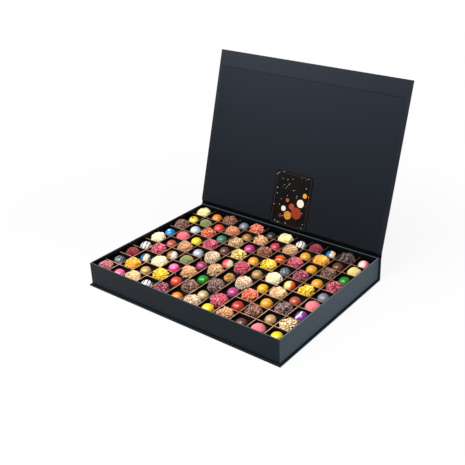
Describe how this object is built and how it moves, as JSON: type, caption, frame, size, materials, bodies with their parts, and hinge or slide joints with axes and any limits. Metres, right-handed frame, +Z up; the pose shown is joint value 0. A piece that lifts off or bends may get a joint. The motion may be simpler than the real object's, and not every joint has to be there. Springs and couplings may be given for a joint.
{
  "type": "chocolate box",
  "caption": "Book-style board box with a hinged lid, a paper-wrapped tray and a lattice of slotted dividers that keeps round chocolates apart.",
  "frame": {"origin": "middle of the tray's plan, on the underside of the base that stands on the table", "axes": "+X along the front from left to right, +Y from the front to the hinge, +Z up"},
  "size_m": [0.4104, 0.3884, 0.3424],
  "materials": {
    "cover_paper": "matte black paper with a very fine linen grain",
    "lining_paper": "matte black lining paper",
    "grey_board": "raw grey board, hidden under the paper",
    "stay_tape": "gummed kraft tape, hidden under the wrap",
    "divider_card": "card with black faces and bare tan edges",
    "chocolate": "assorted crumb-coated truffles and glossy pralines",
    "printed_card": null
  },
  "bodies": {
    "box": {"base_cover": "cover_paper", "spine_cover": "cover_paper", "tray_wrap": "cover_paper", "hinge_strip": "cover_paper", "base_board": "grey_board", "spine_board": "grey_board", "tray_floor": "grey_board", "tray_front_wall": "grey_board", "tray_rear_wall": "grey_board", "tray_left_wall": "grey_board", "tray_right_wall": "grey_board", "raised_floor": "grey_board", "corner_stay_front_left": "stay_tape", "corner_stay_front_right": "stay_tape", "corner_stay_rear_left": "stay_tape", "corner_stay_rear_right": "stay_tape", "row_divider_1_left": "divider_card", "row_divider_1_right": "divider_card", "row_divider_2_left": "divider_card", "row_divider_2_right": "divider_card", "row_divider_3_left": "divider_card", "row_divider_3_right": "divider_card", "row_divider_4_left": "divider_card", "row_divider_4_right": "divider_card", "row_divider_5": "divider_card", "row_divider_6": "divider_card", "row_divider_7": "divider_card", "row_divider_8": "divider_card", "column_divider_1": "divider_card", "column_divider_2": "divider_card", "column_divider_3": "divider_card", "column_divider_4": "divider_card", "column_divider_5": "divider_card", "column_divider_6": "divider_card", "column_divider_7": "divider_card", "column_divider_8": "divider_card", "column_divider_9": "divider_card", "column_divider_10": "divider_card", "column_divider_11": "divider_card", "truffle_layer": "chocolate"},
    "lid": {"lid_board": "grey_board", "lid_cover": "cover_paper", "lid_lining": "lining_paper", "greeting_card": "printed_card"}
  },
  "joints": [
    {"name": "lid_hinge", "type": "hinge", "parent": "box", "child": "lid", "pos_m": [0, 0.15177, 0.04913], "axis": [1, 0, 0], "range_deg": [0, 106], "deforming": ["hinge_strip"]}
  ]
}
